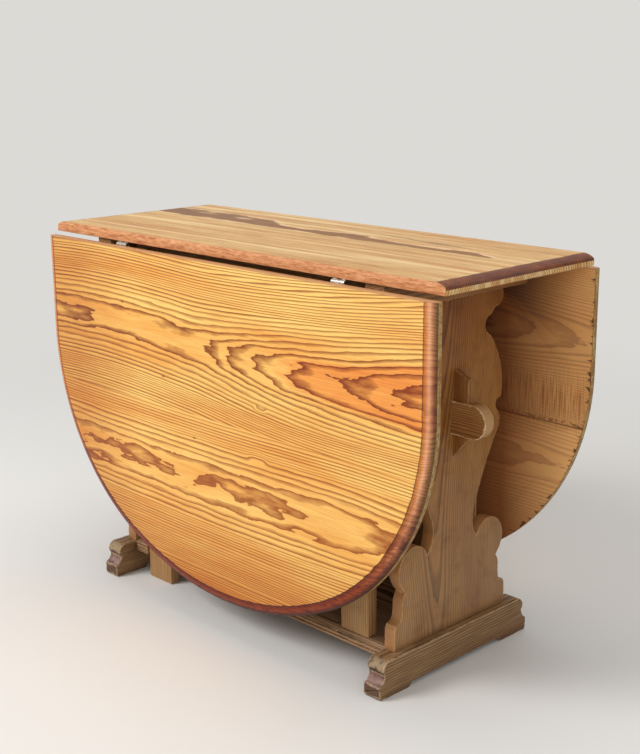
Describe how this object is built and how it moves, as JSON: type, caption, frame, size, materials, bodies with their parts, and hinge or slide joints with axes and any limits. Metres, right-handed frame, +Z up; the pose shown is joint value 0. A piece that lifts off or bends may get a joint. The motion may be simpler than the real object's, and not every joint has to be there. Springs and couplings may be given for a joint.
{
  "type": "drop-leaf table",
  "caption": "Oval drop-leaf trestle table in pine: fixed centre, two hanging half-oval leaves on hinges, scroll-cut ends, keyed stretcher and swinging gates that carry the raised leaves.",
  "frame": {"origin": "on the floor, straight under the middle of the top", "axes": "+X along the long side of the top, +Y from the front leaf to the rear leaf, +Z up"},
  "size_m": [1.032, 0.438, 0.73],
  "materials": {
    "leaf_wood": "flame-grained golden pine under satin varnish, red-brown stained edge",
    "top_wood": "straight-grained pale pine under satin varnish, purple-brown moulded ends",
    "trestle_wood": "tan pine, waxed",
    "foot_wood": "grey-brown stained pine, waxed",
    "key_wood": "dark brown pine, waxed",
    "gate_wood": "pale unfinished pine",
    "dowel_wood": "plain turned wood",
    "hinge_steel": "bright zinc-plated steel",
    "hinge_pin_steel": "bright drawn steel",
    "steel_screws": "zinc-plated steel"
  },
  "bodies": {
    "root": {"bearer_dowels": "dowel_wood", "bearer_screws": "steel_screws", "foot_dowels": "dowel_wood", "front_leaf_left_hinge_pin": "hinge_pin_steel", "front_leaf_left_hinge_top_flap": "hinge_steel", "front_leaf_right_hinge_pin": "hinge_pin_steel", "front_leaf_right_hinge_top_flap": "hinge_steel", "front_top_flap_screws": "steel_screws", "left_bearer": "trestle_wood", "left_end_panel": "trestle_wood", "left_foot": "foot_wood", "left_stretcher_key": "key_wood", "rear_leaf_left_hinge_pin": "hinge_pin_steel", "rear_leaf_left_hinge_top_flap": "hinge_steel", "rear_leaf_right_hinge_pin": "hinge_pin_steel", "rear_leaf_right_hinge_top_flap": "hinge_steel", "rear_top_flap_screws": "steel_screws", "right_bearer": "trestle_wood", "right_end_panel": "trestle_wood", "right_foot": "foot_wood", "right_stretcher_key": "key_wood", "shelf": "foot_wood", "shelf_dowels": "dowel_wood", "stretcher": "trestle_wood", "top_front_plank": "top_wood", "top_rear_plank": "top_wood"},
    "front_leaf": {"front_leaf_flap_screws": "steel_screws", "front_leaf_left_hinge_leaf_flap": "hinge_steel", "front_leaf_lower_plank": "leaf_wood", "front_leaf_right_hinge_leaf_flap": "hinge_steel", "front_leaf_stop_block": "gate_wood", "front_leaf_stop_screws": "steel_screws", "front_leaf_upper_plank": "leaf_wood"},
    "rear_leaf": {"rear_leaf_flap_screws": "steel_screws", "rear_leaf_left_hinge_leaf_flap": "hinge_steel", "rear_leaf_lower_plank": "leaf_wood", "rear_leaf_right_hinge_leaf_flap": "hinge_steel", "rear_leaf_stop_block": "gate_wood", "rear_leaf_stop_screws": "steel_screws", "rear_leaf_upper_plank": "leaf_wood"},
    "front_gate": {"front_gate_foot_pin": "dowel_wood", "front_gate_low_rail": "gate_wood", "front_gate_pivot_post": "gate_wood", "front_gate_swing_post": "gate_wood", "front_gate_top_pin": "dowel_wood", "front_gate_top_rail": "gate_wood"},
    "rear_gate": {"rear_gate_foot_pin": "dowel_wood", "rear_gate_low_rail": "gate_wood", "rear_gate_pivot_post": "gate_wood", "rear_gate_swing_post": "gate_wood", "rear_gate_top_pin": "dowel_wood", "rear_gate_top_rail": "gate_wood"}
  },
  "joints": [
    {"name": "front_leaf_hinge", "type": "hinge", "parent": "root", "child": "front_leaf", "pos_m": [0, -0.193, 0.704], "axis": [-1, 0, 0], "range_deg": [0, 90]},
    {"name": "rear_leaf_hinge", "type": "hinge", "parent": "root", "child": "rear_leaf", "pos_m": [0, 0.193, 0.704], "axis": [1, 0, 0], "range_deg": [0, 90]},
    {"name": "front_gate_pivot", "type": "hinge", "parent": "root", "child": "front_gate", "pos_m": [0.28, -0.134, 0.07], "axis": [0, 0, 1], "range_deg": [0, 4]},
    {"name": "rear_gate_pivot", "type": "hinge", "parent": "root", "child": "rear_gate", "pos_m": [-0.28, 0.134, 0.07], "axis": [0, 0, 1], "range_deg": [0, 4]}
  ]
}
